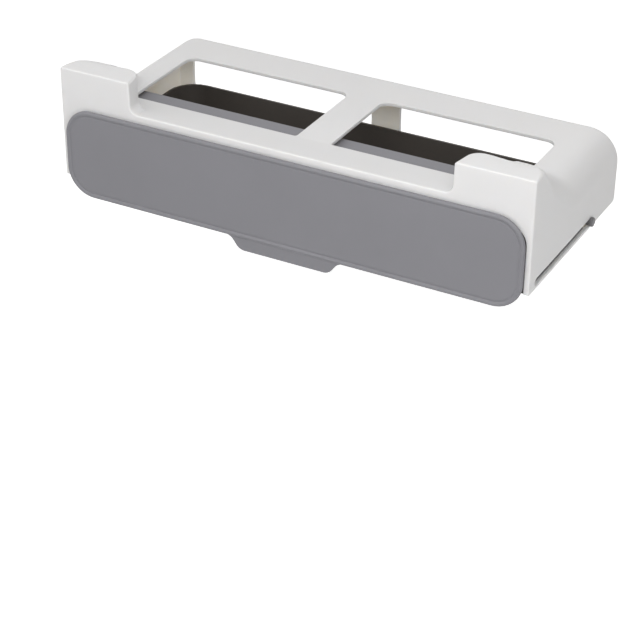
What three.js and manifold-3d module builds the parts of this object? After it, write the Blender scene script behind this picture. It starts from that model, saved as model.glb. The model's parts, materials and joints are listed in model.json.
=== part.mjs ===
// Pull-out spice rack that hangs beneath a shelf: a white housing, and a grey-fronted tray that slides out
// on two pins and then tips down. Millimetres, +Z up, the front faces -Y.
import * as THREE from 'three';
import { mergeVertices } from 'three/addons/utils/BufferGeometryUtils.js';
import Module from 'manifold-3d';

const wasm = await Module();
wasm.setup();

// Gaps
const FIT = 0.3; // between pieces that seat on each other
const PANEL_GAP = 0.6; // between the panel's back and the housing's front
const RAIL_CLEARANCE = 2.3; // between the rail and the top plate
const LINTEL_CLEARANCE = 0.9; // between the rail and the lintel that it passes beneath
const REAR_CLEARANCE = 11.5; // behind the tray, for its swing

// Housing, with x across, y back from the front face and z up from the foot of the side walls
const WIDTH = 340;
const DEPTH = 146;
const WALL = 2.5;
const PLATE_TOP = 49.5;
const EDGE_RADIUS = 1.2;
const REAR_EDGE_RADIUS = 2;
const REAR_FOOT_RADIUS = 5;

// Ears at the front corners, and the shoulders that run back from them
const EAR_RISE = 28.8;
const EAR_WIDTH = 54.1;
const EAR_DEPTH = 22.3;
const EAR_BACK_RUN = 5;
const EAR_DRAFT = 0.3;
const EAR_SLANT = 3.5;
const EAR_CORNER_RADIUS = 7;
const EAR_FILLET = 6;
const EAR_BLEND = 16;
const SHOULDER_RADIUS = 21;
const SHOULDER_START = 13;
const SHOULDER_END = 74;
const SHOULDER_ROUNDING_RUN = 30;
const SHOULDER_ROUNDING_POWER = 2.2;

// Front rim, windows and the open back
const RIM_RISE = 7.3;
const WINDOW_FRONT = 37.4;
const WINDOW_SIDE = 31.1;
const WINDOW_FRONT_RADIUS = 2;
const WINDOW_REAR_RADIUS = 8;
const REAR_RIM = 32.6;
const BAR_WIDTH = 25.2;
const REAR_LIP = 10;
const REAR_SILL = 8;
const REAR_OPENING_RADIUS = 6;
const CENTRE_LEG = 22;
const CORNER_LEG = 14;
const FRONT_LIP = 1.3;
const FRONT_OPENING_RADIUS = 12;

// Guide pins and the slots that they run in
const PIN_DIAMETER = 4.6;
const PIN_HEAD_DIAMETER = 6.4;
const PIN_HEAD = 2.1;
const PIN_TAIL = 2.3;
const PIN_FROM_TRAY_BACK = 31;
const SLOT_FRONT = 9.3;
const SLOT_SILL = 2;
const WASHER_DIAMETER = 10;
const WASHER = 1.4;
const CLIP_DIAMETER = 6.6;
const CLIP = 0.8;
const CLIP_GROOVE = 0.6;
const CLIP_MOUTH = Math.PI / 3;

// Tray
const TRAY_STANDOFF = 5;
const TRAY_BOTTOM = 1;
const TRAY_WALL = 2;
const TRAY_REAR_HEIGHT = 19.7;
const TRAY_REAR_RADIUS = 20;
const TRAY_FRONT_RADIUS = 3;
const TRAY_FOOT_RADIUS = 1.5;
const TRAY_STEP_RUN = 22;
const RUNNER_WIDTH = 8.2;
const RUNNER_FOOT = -3;
const RUNNER_TOP = 14;
const RUNNER_RADIUS = 2;
const RUNNER_PIN_RADIUS = 4.5;
const RAIL_BACK = 58;
const RAIL_DEPTH = 28;
const RAIL = 2.4;
const RAIL_RADIUS = 3;
const RAIL_EDGE = 0.6;
const RAIL_BOSS_DIAMETER = 7;
const RAIL_BOSS_HEIGHT = 14;

// Front panel and its pull tab
const PANEL_SIDE = 3.6;
const PANEL_DROP = 5.2;
const PANEL_BOTTOM = -12;
const PANEL_THICKNESS = 2;
const PANEL_RADIUS = 20;
const PANEL_BACK_EDGE = 0.5;
const BEAD_WIDTH = 4.4;
const BEAD_RISE = 0.6;
const TAB_DROP = 9.1;
const TAB_THICKNESS = 1.6;
const TAB_TOP_WIDTH = 80;
const TAB_BOTTOM_WIDTH = 66;
const TAB_RADIUS = 7;
const PANEL_BOSS_DIAMETER = 7;

// Screws
const SCREW_DIAMETER = 2.6;
const SCREW_HEAD_DIAMETER = 5.2;
const SCREW_HEAD = 1.6;
const SCREW_BITE = 4;
const PANEL_SCREW_INSET = 32;
const PANEL_SCREW_HEIGHTS = [12, 34];
const RUNNER_SCREW_DEPTHS = [26, 76];
const RAIL_SCREW_LENGTH = 9;

// Magnet catch behind the panel's top corners
const MAGNET_WIDTH = 12;
const MAGNET_HEIGHT = 3.4;
const MAGNET = 1.6;
const STRIKE = 0.9;
const MAGNET_INSET = 30;

// How finely the round stretches are cut
const ROUND_STEPS = 6;
const SHOULDER_STEPS = 10;
const CIRCLE_STEPS = 20;
const OVERCUT = 1;

// Places that follow from the sizes above
const half = WIDTH / 2;
const inner = half - WALL;
const slotHeight = PIN_DIAMETER + 2 * FIT;
const pinZ = SLOT_SILL + slotHeight / 2;
const washerInner = inner - FIT - WASHER;
const runnerOuter = washerInner - FIT;
const runnerInner = runnerOuter - RUNNER_WIDTH;
const trayHalf = runnerInner - FIT;
const trayBack = DEPTH - WALL - REAR_CLEARANCE;
const pinY = trayBack - PIN_FROM_TRAY_BACK;
const railTop = PLATE_TOP - WALL - RAIL_CLEARANCE;
const trayFrontTop = railTop - RAIL - FIT;
const trayRearTop = TRAY_BOTTOM + TRAY_REAR_HEIGHT;
const trayFloorTop = TRAY_BOTTOM + TRAY_WALL;
const runnerScrewZ = trayFloorTop + TRAY_FOOT_RADIUS + SCREW_HEAD_DIAMETER / 2 + FIT;
const pinStart = runnerInner + FIT;
const clipSeat = pinStart + PIN_TAIL;
const openingTop = railTop + LINTEL_CLEARANCE;
const windowRear = DEPTH - REAR_RIM;
const windowSide = half - WINDOW_SIDE;
const slopeStart = half - SHOULDER_RADIUS - REAR_EDGE_RADIUS - EDGE_RADIUS / 2;
const panelHalf = half - PANEL_SIDE;
const panelTop = PLATE_TOP + RIM_RISE - PANEL_DROP;
const panelFace = -PANEL_GAP - PANEL_THICKNESS;
const tabBottom = PANEL_BOTTOM - TAB_DROP;
const panelScrewX = trayHalf - PANEL_SCREW_INSET;
const magnetX = half - MAGNET_INSET;
const magnetZ = (openingTop + panelTop) / 2;
const railScrewX = trayHalf - TRAY_WALL - RAIL_BOSS_DIAMETER / 2 + OVERCUT;
const railScrewY = RAIL_BACK - RAIL_DEPTH / 2;
const mountY = (WINDOW_FRONT + windowRear) / 2;

const SIDES = [['left', -1], ['right', 1]];

const PLASTIC_WHITE = new THREE.MeshStandardMaterial({ color: 0xdddcda, roughness: 0.45, metalness: 0 });
const PLASTIC_GREY = new THREE.MeshStandardMaterial({ color: 0x89888d, roughness: 0.5, metalness: 0 });
const PLASTIC_DARK = new THREE.MeshStandardMaterial({ color: 0x373230, roughness: 0.55, metalness: 0 });
const PIN_GREY = new THREE.MeshStandardMaterial({ color: 0x68676a, roughness: 0.5, metalness: 0 });
const NYLON = new THREE.MeshStandardMaterial({ color: 0xd8d4c8, roughness: 0.5, metalness: 0 });
const STEEL = new THREE.MeshStandardMaterial({ color: 0xb4b5b8, roughness: 0.3, metalness: 1 });

// Which way an outline's u and v and its extrusion w point
const alongX = (u, v, w) => new THREE.Vector3(w, u, v);
const alongY = (u, v, w) => new THREE.Vector3(u, w, v);
const alongZ = (u, v, w) => new THREE.Vector3(u, v, w);

// Solid of a closed geometry
function solid(geometry) {
  const bare = geometry.clone();
  bare.deleteAttribute('normal');
  bare.deleteAttribute('uv');
  const merged = mergeVertices(bare, 1e-4);
  return new wasm.Manifold(new wasm.Mesh({
    numProp: 3,
    vertProperties: merged.attributes.position.array,
    triVerts: new Uint32Array(merged.index.array),
  }));
}

// Geometry of a solid, with flat facets
function geometryOf(body) {
  const { vertProperties, triVerts } = body.getMesh();
  const shared = new THREE.BufferGeometry();
  shared.setAttribute('position', new THREE.BufferAttribute(vertProperties, 3));
  shared.setIndex(new THREE.BufferAttribute(triVerts, 1));
  const geometry = shared.toNonIndexed();
  geometry.computeVertexNormals();
  return geometry;
}

// Six times the volume inside an indexed skin, negative where it is inside out
function signedVolume(positions, index) {
  const corner = (i) => new THREE.Vector3().fromArray(positions, 3 * i);
  let sum = 0;
  for (let i = 0; i < index.length; i += 3) {
    sum += corner(index[i]).cross(corner(index[i + 1])).dot(corner(index[i + 2]));
  }
  return sum;
}

// Closed solid through rings of points, the cap's triangles given as places in a ring
function skin(rings, cap) {
  const count = rings[0].length;
  const last = (rings.length - 1) * count;
  const positions = rings.flat().flatMap((point) => point.toArray());
  const index = [];
  for (let start = 0; start < last; start += count) {
    for (let i = 0; i < count; i += 1) {
      const a = start + i;
      const b = start + (i + 1) % count;
      index.push(a, b, b + count, a, b + count, a + count);
    }
  }
  for (const [a, b, c] of cap) {
    index.push(c, b, a, last + a, last + b, last + c);
  }
  const outward = signedVolume(positions, index) > 0 ? index : index.reverse();
  const geometry = new THREE.BufferGeometry();
  geometry.setAttribute('position', new THREE.Float32BufferAttribute(positions, 3));
  geometry.setIndex(outward);
  return solid(geometry);
}

// Points of an outline given by its corners [u, v, radius], anticlockwise, moved inwards by an inset
function roundedOutline(corners, inset = 0, steps = ROUND_STEPS) {
  const points = [];
  corners.forEach(([u, v, radius], i) => {
    const here = new THREE.Vector2(u, v);
    const [pu, pv] = corners.at(i - 1);
    const [nu, nv] = corners[(i + 1) % corners.length];
    const before = new THREE.Vector2(u - pu, v - pv).normalize();
    const after = new THREE.Vector2(nu - u, nv - v).normalize();
    const inBefore = new THREE.Vector2(-before.y, before.x);
    const inAfter = new THREE.Vector2(-after.y, after.x);
    const bisector = inBefore.clone().add(inAfter).divideScalar(1 + inBefore.dot(inAfter));
    const moved = here.addScaledVector(bisector, inset);
    const side = Math.sign(before.cross(after));
    const turn = Math.acos(THREE.MathUtils.clamp(before.dot(after), -1, 1));
    const bend = Math.max(radius - side * inset, FIT);
    const start = moved.clone().addScaledVector(before, -bend * Math.tan(turn / 2));
    const centre = start.clone().addScaledVector(inBefore, side * bend);
    for (let k = 0; k <= steps; k += 1) {
      points.push(start.clone().rotateAround(centre, side * turn * k / steps));
    }
  });
  return points;
}

// Corners of an upright rectangle, all of one radius
function rectangle(u0, v0, u1, v1, radius) {
  return [[u0, v0, radius], [u1, v0, radius], [u1, v1, radius], [u0, v1, radius]];
}

// Solid through levels [w, inset] of one outline
function stack(corners, levels, place, steps = ROUND_STEPS) {
  const outlines = levels.map(([, inset]) => roundedOutline(corners, inset, steps));
  const rings = outlines.map((outline, i) => outline.map(({ x, y }) => place(x, y, levels[i][0])));
  return skin(rings, THREE.ShapeUtils.triangulateShape(outlines[0], []));
}

function prism(corners, from, to, place, steps = ROUND_STEPS) {
  return stack(corners, [[from, 0], [to, 0]], place, steps);
}

// Solid cylinder from one place to another along an axis
function rod(diameter, from, to) {
  const span = to.clone().sub(from);
  const geometry = new THREE.CylinderGeometry(diameter / 2, diameter / 2, span.length(), CIRCLE_STEPS);
  const up = new THREE.Vector3(0, 1, 0);
  geometry.applyQuaternion(new THREE.Quaternion().setFromUnitVectors(up, span.clone().normalize()));
  geometry.translate(...from.clone().add(to).divideScalar(2).toArray());
  return solid(geometry);
}

function block(x0, y0, z0, x1, y1, z1) {
  const geometry = new THREE.BoxGeometry(x1 - x0, y1 - y0, z1 - z0);
  geometry.translate((x0 + x1) / 2, (y0 + y1) / 2, (z0 + z1) / 2);
  return solid(geometry);
}

// Round solid whose profile [radius, height] starts and ends on the axis
function turned(profile) {
  const points = profile.map(([radius, height]) => new THREE.Vector2(radius, height));
  const geometry = new THREE.LatheGeometry(points, CIRCLE_STEPS);
  geometry.deleteAttribute('normal');
  geometry.deleteAttribute('uv');
  const merged = mergeVertices(geometry, 1e-4);
  const index = Array.from(merged.index.array);
  const positions = merged.attributes.position.array;
  const kept = [];
  for (let i = 0; i < index.length; i += 3) {
    const [a, b, c] = index.slice(i, i + 3);
    if (a !== b && b !== c && c !== a) {
      kept.push(a, b, c);
    }
  }
  merged.setIndex(signedVolume(positions, kept) > 0 ? kept : kept.reverse());
  return solid(merged);
}

// How far the ear's inner side stands back at depth y, by its slant and its rounded rear corner
function earCorner(y) {
  const back = EAR_DEPTH - EAR_BACK_RUN / 2;
  const run = THREE.MathUtils.clamp(y - back + EAR_CORNER_RADIUS, 0, EAR_CORNER_RADIUS);
  const slant = EAR_SLANT * THREE.MathUtils.clamp(y / back, 0, 1);
  return slant + EAR_CORNER_RADIUS - Math.sqrt(EAR_CORNER_RADIUS ** 2 - run ** 2);
}

// Heights of the housing's top along its depth
function shoulderTop(y) {
  const fall = THREE.MathUtils.smoothstep(y, SHOULDER_START, SHOULDER_END);
  return PLATE_TOP + EAR_RISE * (1 - fall);
}

function shoulderRadius(y) {
  const share = THREE.MathUtils.clamp(y / SHOULDER_ROUNDING_RUN, 0, 1) ** SHOULDER_ROUNDING_POWER;
  return THREE.MathUtils.lerp(EDGE_RADIUS, SHOULDER_RADIUS, share);
}

// Where the shoulder's inner side ends at depth y: wide behind the ear, narrow beside the window
function slopeEnd(y) {
  const share = THREE.MathUtils.smoothstep(y, EAR_DEPTH, WINDOW_FRONT);
  return THREE.MathUtils.lerp(slopeStart - EAR_BLEND, windowSide + EDGE_RADIUS, share);
}

function rimTop(y) {
  return PLATE_TOP + RIM_RISE * (1 - THREE.MathUtils.clamp(y / (WINDOW_FRONT - FIT), 0, 1));
}

function earTop(y) {
  const fall = THREE.MathUtils.smoothstep(y, EAR_DEPTH - EAR_BACK_RUN / 2, EAR_DEPTH + EAR_BACK_RUN / 2);
  return THREE.MathUtils.lerp(PLATE_TOP + EAR_RISE, rimTop(y), fall);
}

// One cross-section of the housing's skin at depth y, moved inwards by an inset, with its foot at z
function housingSection(y, inset, shrink, foot) {
  const margin = inset + shrink;
  const wall = half - margin;
  const shoulder = shoulderTop(y) - margin;
  const round = Math.max(shoulderRadius(y) - inset, EDGE_RADIUS / 2);
  const ear = earTop(y + inset) - margin;
  const rim = rimTop(y) - margin;
  const slopeOuter = slopeStart + Math.min(inset, EDGE_RADIUS / 2);
  const slopeInner = slopeEnd(y + inset) + inset;
  const earInner = half - EAR_WIDTH + margin + earCorner(y + inset);
  const lift = (ear - rim) / (EAR_RISE - RIM_RISE);
  const right = [];
  for (let k = 0; k <= SHOULDER_STEPS; k += 1) {
    const turn = Math.PI / 2 * k / SHOULDER_STEPS;
    right.push([wall - round * (1 - Math.cos(turn)), shoulder - round * (1 - Math.sin(turn))]);
  }
  const slopeSteps = ROUND_STEPS - 2;
  for (let k = 0; k <= slopeSteps; k += 1) {
    const share = k / slopeSteps;
    const height = THREE.MathUtils.lerp(shoulder, ear, THREE.MathUtils.smoothstep(share, 0, 1));
    right.push([THREE.MathUtils.lerp(slopeOuter, slopeInner, share), height]);
  }
  right.push([earInner + EAR_DRAFT + EDGE_RADIUS, ear]);
  right.push([earInner + EAR_DRAFT, ear - EDGE_RADIUS * lift]);
  for (let k = 0; k <= ROUND_STEPS; k += 1) {
    const turn = Math.PI / 2 * k / ROUND_STEPS;
    const across = EAR_FILLET * (1 - Math.cos(turn));
    const rise = EAR_FILLET * (1 - Math.sin(turn)) * lift;
    right.push([earInner - across, rim + rise]);
  }
  const left = right.map(([x, z]) => [-x, z]).reverse();
  const top = [...right, ...left];
  const bottom = top.map(([x]) => [x, foot]).reverse();
  return [...top, ...bottom].map(([x, z]) => new THREE.Vector3(x, y, z));
}

// Triangles that close a housing section, between its top and its foot
function housingCap(count) {
  const across = count / 2;
  const cap = [];
  for (let i = 0; i + 1 < across; i += 1) {
    cap.push([i, i + 1, count - 2 - i], [i, count - 2 - i, count - 1 - i]);
  }
  return cap;
}

// Depths at which the housing's form changes, between the front and the back edges
function housingStations(inset) {
  const earBack = EAR_DEPTH - EAR_BACK_RUN / 2 - inset;
  const stations = [(earBack - EAR_CORNER_RADIUS) / 2];
  for (let k = 0; k < ROUND_STEPS; k += 1) {
    stations.push(earBack - EAR_CORNER_RADIUS * (1 - Math.sin(Math.PI / 2 * k / ROUND_STEPS)));
  }
  for (let k = 0; k <= ROUND_STEPS; k += 1) {
    stations.push(earBack + EAR_BACK_RUN * k / ROUND_STEPS);
  }
  const fallStart = EAR_DEPTH + EAR_BACK_RUN;
  for (let k = 0; k <= SHOULDER_STEPS; k += 1) {
    stations.push(THREE.MathUtils.lerp(fallStart, SHOULDER_END, k / SHOULDER_STEPS));
  }
  stations.push(WINDOW_FRONT - FIT);
  return stations.sort((a, b) => a - b);
}

function housingOuter() {
  const steps = ROUND_STEPS / 2;
  const rings = [];
  for (let k = 0; k < steps; k += 1) {
    const turn = Math.PI / 2 * k / steps;
    const y = EDGE_RADIUS * (1 - Math.cos(turn));
    rings.push(housingSection(y, 0, EDGE_RADIUS * (1 - Math.sin(turn)), 0));
  }
  rings.push(housingSection(EDGE_RADIUS, 0, 0, 0));
  for (const y of housingStations(0)) {
    rings.push(housingSection(y, 0, 0, 0));
  }
  for (let k = 0; k <= ROUND_STEPS; k += 1) {
    const turn = Math.PI / 2 * k / ROUND_STEPS;
    const y = DEPTH - REAR_FOOT_RADIUS * (1 - Math.sin(turn));
    const edge = Math.max(0, y - DEPTH + REAR_EDGE_RADIUS);
    const shrink = REAR_EDGE_RADIUS - Math.sqrt(REAR_EDGE_RADIUS ** 2 - edge ** 2);
    rings.push(housingSection(y, 0, shrink, REAR_FOOT_RADIUS * (1 - Math.cos(turn))));
  }
  return skin(rings, housingCap(rings[0].length));
}

function housingCavity() {
  const below = -OVERCUT;
  const depths = [WALL, ...housingStations(WALL).filter((y) => y > WALL + EDGE_RADIUS), DEPTH - WALL];
  const rings = depths.map((y) => housingSection(y, WALL, 0, below));
  return skin(rings, housingCap(rings[0].length));
}

function windowCut(side) {
  const near = side * BAR_WIDTH / 2;
  const far = side * windowSide;
  const [left, right] = [Math.min(near, far), Math.max(near, far)];
  const corners = [
    [left, WINDOW_FRONT, WINDOW_FRONT_RADIUS],
    [right, WINDOW_FRONT, WINDOW_FRONT_RADIUS],
    [right, windowRear, WINDOW_REAR_RADIUS],
    [left, windowRear, WINDOW_REAR_RADIUS],
  ];
  return prism(corners, PLATE_TOP - WALL - OVERCUT, PLATE_TOP + OVERCUT, alongZ);
}

function rearCut(side) {
  const near = side * CENTRE_LEG / 2;
  const far = side * (half - CORNER_LEG);
  const top = PLATE_TOP - REAR_LIP;
  const [left, right] = [Math.min(near, far), Math.max(near, far)];
  const corners = rectangle(left, REAR_SILL, right, top, REAR_OPENING_RADIUS);
  return prism(corners, DEPTH - WALL - OVERCUT, DEPTH + OVERCUT, alongY);
}

function slotCut(side) {
  const end = slotHeight / 2;
  const corners = rectangle(SLOT_FRONT, SLOT_SILL, pinY + end, SLOT_SILL + slotHeight, end * 0.99);
  return prism(corners, side * (inner - OVERCUT), side * (half + OVERCUT), alongX);
}

function frontCut() {
  const side = inner - FRONT_LIP;
  const foot = -FRONT_OPENING_RADIUS - OVERCUT;
  const corners = rectangle(-side, foot, side, openingTop, FRONT_OPENING_RADIUS);
  return prism(corners, -OVERCUT, WALL + OVERCUT, alongY);
}

function catchPocket(side, y0, y1) {
  const x = side * magnetX;
  const width = MAGNET_WIDTH / 2 + FIT;
  const height = MAGNET_HEIGHT / 2 + FIT;
  return block(x - width, y0, magnetZ - height, x + width, y1, magnetZ + height);
}

function makeHousing() {
  let body = housingOuter().subtract(housingCavity()).subtract(frontCut());
  for (const [, side] of SIDES) {
    body = body.subtract(windowCut(side)).subtract(rearCut(side)).subtract(slotCut(side));
    body = body.subtract(catchPocket(side, -OVERCUT, MAGNET + FIT));
  }
  return body;
}

// Tray: a shallow box whose sides step down behind the rail
function trayCorners() {
  const [left, right] = [-trayHalf, trayHalf];
  return [
    [left, TRAY_STANDOFF, TRAY_FRONT_RADIUS],
    [right, TRAY_STANDOFF, TRAY_FRONT_RADIUS],
    [right, trayBack, TRAY_REAR_RADIUS],
    [left, trayBack, TRAY_REAR_RADIUS],
  ];
}

// Levels of an upright box from a rounded foot to its top
function footLevels(foot, top, radius, inset) {
  const levels = [];
  const steps = ROUND_STEPS / 2;
  for (let k = 0; k <= steps; k += 1) {
    const turn = Math.PI / 2 * k / steps;
    levels.push([foot + radius * (1 - Math.cos(turn)), inset + radius * (1 - Math.sin(turn))]);
  }
  levels.push([top, inset]);
  return levels;
}

function trayStepCut() {
  const top = trayFrontTop + OVERCUT;
  const rear = trayBack + OVERCUT;
  const slope = [];
  for (let k = 0; k <= 2 * ROUND_STEPS; k += 1) {
    const share = k / (2 * ROUND_STEPS);
    const height = THREE.MathUtils.lerp(top, trayRearTop, THREE.MathUtils.smoothstep(share, 0, 1));
    slope.push(new THREE.Vector2(RAIL_BACK + TRAY_STEP_RUN * share, height));
  }
  const outline = [...slope, new THREE.Vector2(rear, trayRearTop), new THREE.Vector2(rear, top)];
  const reach = trayHalf + OVERCUT;
  const rings = [-reach, reach].map((x) => outline.map((point) => alongX(point.x, point.y, x)));
  return skin(rings, THREE.ShapeUtils.triangulateShape(outline, []));
}

function screwHole(at, towards) {
  return rod(SCREW_DIAMETER + 2 * FIT, at, at.clone().add(towards));
}

function makeTray() {
  const corners = trayCorners();
  const outer = stack(corners, footLevels(TRAY_BOTTOM, trayFrontTop, TRAY_FOOT_RADIUS, 0), alongZ);
  const open = trayFrontTop + OVERCUT;
  const cavity = stack(corners, footLevels(trayFloorTop, open, TRAY_FOOT_RADIUS, TRAY_WALL), alongZ);
  let body = outer.subtract(cavity).subtract(trayStepCut());
  for (const [, side] of SIDES) {
    const bossTop = new THREE.Vector3(side * railScrewX, railScrewY, trayFrontTop);
    const bossFoot = bossTop.clone().setZ(trayFrontTop - RAIL_BOSS_HEIGHT);
    body = body.add(rod(RAIL_BOSS_DIAMETER, bossFoot, bossTop));
    const screwTop = bossTop.clone().setZ(trayFrontTop + OVERCUT);
    body = body.subtract(screwHole(screwTop, new THREE.Vector3(0, 0, -RAIL_SCREW_LENGTH - OVERCUT)));
    const through = new THREE.Vector3(side * (TRAY_WALL + 2 * OVERCUT), 0, 0);
    for (const y of RUNNER_SCREW_DEPTHS) {
      const inside = new THREE.Vector3(side * (trayHalf - TRAY_WALL - OVERCUT), y, runnerScrewZ);
      body = body.subtract(screwHole(inside, through));
    }
    for (const z of PANEL_SCREW_HEIGHTS) {
      const front = new THREE.Vector3(side * panelScrewX, TRAY_STANDOFF - OVERCUT, z);
      body = body.subtract(screwHole(front, new THREE.Vector3(0, TRAY_WALL + 2 * OVERCUT, 0)));
    }
  }
  return body;
}

function makeRail() {
  const front = RAIL_BACK - RAIL_DEPTH;
  const corners = rectangle(-trayHalf, front, trayHalf, RAIL_BACK, RAIL_RADIUS);
  const foot = railTop - RAIL;
  const levels = [[foot, RAIL_EDGE], [foot + RAIL_EDGE, 0], [railTop - RAIL_EDGE, 0], [railTop, RAIL_EDGE]];
  let body = stack(corners, levels, alongZ);
  for (const [, side] of SIDES) {
    const sink = turned(sunkProfile(FIT, RAIL + OVERCUT, OVERCUT));
    body = body.subtract(sink.rotate([90, 0, 0]).translate([side * railScrewX, railScrewY, railTop]));
  }
  return body;
}

// Profile of a sunk screw or, with a gap, of the hole that takes it: flush at height 0
function sunkProfile(gap, length, above) {
  const shank = SCREW_DIAMETER / 2 + gap;
  const head = SCREW_HEAD_DIAMETER / 2 + gap;
  const cone = head - shank;
  return [[0, -length], [shank, -length], [shank, -cone], [head, 0], [head, above], [0, above]];
}

function makeRunner(side) {
  const rear = pinY + RUNNER_PIN_RADIUS;
  const corners = [
    [TRAY_STANDOFF, RUNNER_FOOT, RUNNER_RADIUS],
    [rear, RUNNER_FOOT, RUNNER_PIN_RADIUS],
    [rear, RUNNER_TOP, RUNNER_PIN_RADIUS],
    [TRAY_STANDOFF, RUNNER_TOP, RUNNER_RADIUS],
  ];
  let body = prism(corners, side * runnerInner, side * runnerOuter, alongX);
  const inside = new THREE.Vector3(side * (runnerInner - OVERCUT), pinY, pinZ);
  const through = new THREE.Vector3(side * (RUNNER_WIDTH + 2 * OVERCUT), 0, 0);
  body = body.subtract(rod(PIN_DIAMETER + 2 * FIT, inside, inside.clone().add(through)));
  body = body.subtract(rod(CLIP_DIAMETER + 2 * FIT, inside, inside.clone().setX(side * clipSeat)));
  for (const y of RUNNER_SCREW_DEPTHS) {
    const bite = new THREE.Vector3(side * (OVERCUT + SCREW_BITE + 2 * FIT), 0, 0);
    body = body.subtract(screwHole(new THREE.Vector3(inside.x, y, runnerScrewZ), bite));
  }
  return body;
}

// Front panel: a rounded plate with a raised bead round its edge
function panelPlate() {
  const corners = rectangle(-panelHalf, PANEL_BOTTOM, panelHalf, panelTop, PANEL_RADIUS);
  const levels = [[-PANEL_GAP, PANEL_BACK_EDGE], [-PANEL_GAP - PANEL_BACK_EDGE, 0]];
  const crest = BEAD_WIDTH / 2;
  const shoulder = -PANEL_GAP - PANEL_THICKNESS / 2;
  for (let k = 0; k <= ROUND_STEPS; k += 1) {
    const turn = Math.PI / 2 * k / ROUND_STEPS;
    const y = THREE.MathUtils.lerp(shoulder, panelFace - BEAD_RISE, Math.sin(turn));
    levels.push([y, crest * (1 - Math.cos(turn))]);
  }
  for (let k = 1; k <= ROUND_STEPS; k += 1) {
    const share = k / ROUND_STEPS;
    const fall = THREE.MathUtils.smoothstep(share, 0, 1);
    levels.push([panelFace - BEAD_RISE * (1 - fall), crest * (1 + share)]);
  }
  return stack(corners, levels, alongY);
}

// Pull tab: a thinner plate that hangs below the bead, with its foot splayed into the panel
function pullTab() {
  const root = PANEL_BOTTOM + FIT;
  const high = PANEL_BOTTOM + BEAD_WIDTH;
  const top = TAB_TOP_WIDTH / 2;
  const bottom = TAB_BOTTOM_WIDTH / 2;
  const splay = top + 2 * TAB_RADIUS;
  const corners = [
    [-splay, root, FIT],
    [-top, root, TAB_RADIUS],
    [-bottom, tabBottom, TAB_RADIUS],
    [bottom, tabBottom, TAB_RADIUS],
    [top, root, TAB_RADIUS],
    [splay, root, FIT],
    [splay, high, FIT],
    [-splay, high, FIT],
  ];
  const edge = FIT / 2;
  const back = -PANEL_GAP - edge;
  const front = -PANEL_GAP - TAB_THICKNESS;
  const rounding = [[front, 2 * edge], [front + edge, edge], [front + 3 * edge, 0]];
  const levels = [...rounding, [back - edge, 0], [back, edge]];
  return stack(corners, levels, alongY);
}

function makePanel() {
  let body = panelPlate().add(pullTab());
  const bossEnd = TRAY_STANDOFF - FIT;
  for (const [, side] of SIDES) {
    for (const z of PANEL_SCREW_HEIGHTS) {
      const root = new THREE.Vector3(side * panelScrewX, -PANEL_GAP - OVERCUT, z);
      body = body.add(rod(PANEL_BOSS_DIAMETER, root, root.clone().setY(bossEnd)));
      const bite = new THREE.Vector3(0, -SCREW_BITE - 2 * FIT - OVERCUT, 0);
      body = body.subtract(screwHole(root.clone().setY(bossEnd + OVERCUT), bite));
    }
    body = body.subtract(catchPocket(side, -PANEL_GAP - STRIKE - FIT, OVERCUT));
  }
  return body;
}

function catchPlate(side, y0, thickness) {
  const x = side * magnetX;
  const width = MAGNET_WIDTH / 2;
  const height = MAGNET_HEIGHT / 2;
  return block(x - width, y0, magnetZ - height, x + width, y0 + thickness, magnetZ + height);
}

// Pan-headed screw with its head's underside at height 0 and its point below
function panScrew(length) {
  const shank = SCREW_DIAMETER / 2;
  const head = SCREW_HEAD_DIAMETER / 2;
  const dimple = head / 3;
  return turned([
    [0, -length],
    [shank, shank - length],
    [shank, 0],
    [head, 0],
    [head, SCREW_HEAD / 2],
    [head * 0.8, SCREW_HEAD],
    [dimple, SCREW_HEAD],
    [0, SCREW_HEAD - dimple],
  ]);
}

// Guide pin from its tail inside the runner to its head outside the side wall
function makePin() {
  const radius = PIN_DIAMETER / 2;
  const head = PIN_HEAD_DIAMETER / 2;
  const shank = half + FIT - pinStart;
  const grooveEnd = PIN_TAIL;
  const grooveStart = grooveEnd - CLIP - 2 * FIT;
  const groove = radius - CLIP_GROOVE;
  return turned([
    [0, 0],
    [groove, 0],
    [radius, CLIP_GROOVE],
    [radius, grooveStart],
    [groove, grooveStart],
    [groove, grooveEnd],
    [radius, grooveEnd],
    [radius, shank],
    [head, shank],
    [head, shank + PIN_HEAD / 2],
    [head * 0.8, shank + PIN_HEAD],
    [0, shank + PIN_HEAD],
  ]);
}

// Open ring that snaps into the pin's groove, its mouth upwards
function makeClip() {
  const outerRadius = CLIP_DIAMETER / 2;
  const innerRadius = PIN_DIAMETER / 2 - CLIP_GROOVE + FIT;
  const start = Math.PI / 2 + CLIP_MOUTH / 2;
  const sweep = 2 * Math.PI - CLIP_MOUTH;
  const outline = [];
  for (let k = 0; k <= CIRCLE_STEPS; k += 1) {
    const turn = start + sweep * k / CIRCLE_STEPS;
    outline.push(new THREE.Vector2(outerRadius * Math.cos(turn), outerRadius * Math.sin(turn)));
  }
  for (let k = CIRCLE_STEPS; k >= 0; k -= 1) {
    const turn = start + sweep * k / CIRCLE_STEPS;
    outline.push(new THREE.Vector2(innerRadius * Math.cos(turn), innerRadius * Math.sin(turn)));
  }
  const rings = [0, CLIP].map((x) => outline.map((point) => alongX(point.x, point.y, x)));
  return skin(rings, THREE.ShapeUtils.triangulateShape(outline, []));
}

function makeWasher() {
  const end = new THREE.Vector3(WASHER, 0, 0);
  const beyond = new THREE.Vector3(WASHER + OVERCUT, 0, 0);
  const before = new THREE.Vector3(-OVERCUT, 0, 0);
  const ring = rod(WASHER_DIAMETER, new THREE.Vector3(), end);
  return ring.subtract(rod(PIN_DIAMETER + 2 * FIT, before, beyond));
}

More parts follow.
